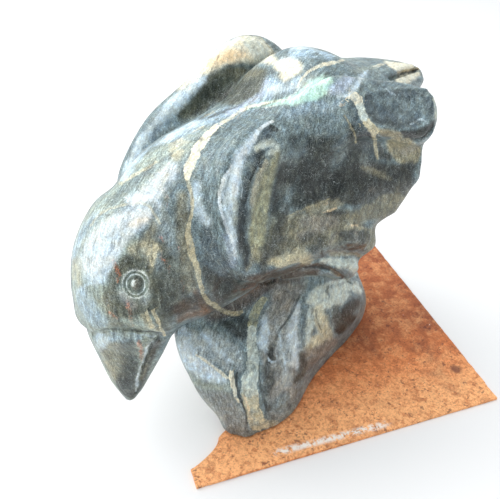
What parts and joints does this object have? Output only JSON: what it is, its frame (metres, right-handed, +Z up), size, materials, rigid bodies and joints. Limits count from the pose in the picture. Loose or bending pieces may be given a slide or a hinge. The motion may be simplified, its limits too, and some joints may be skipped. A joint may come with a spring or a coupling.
{
  "type": "crow statue",
  "caption": "Veined soapstone carving of a crow with its head hanging, wings half raised over a rock of the same stone, standing on a thin rusted steel plate.",
  "frame": {"origin": "middle of the base plate's underside, measured on the plate without its ear", "axes": "+Z up from the plate, the crow faces -Y and its left wing is on +X"},
  "size_m": [0.2896, 0.3337, 0.2381],
  "materials": {
    "stone": "dark blue-green soapstone with cream, ochre and pale green veins, rubbed to a low polish",
    "rusted_plate": "cut steel sheet under matt orange-brown rust with dark specks and old white paint marks"
  },
  "bodies": {
    "root": {"crow_carving": "stone", "base_plate": "rusted_plate"}
  },
  "joints": []
}
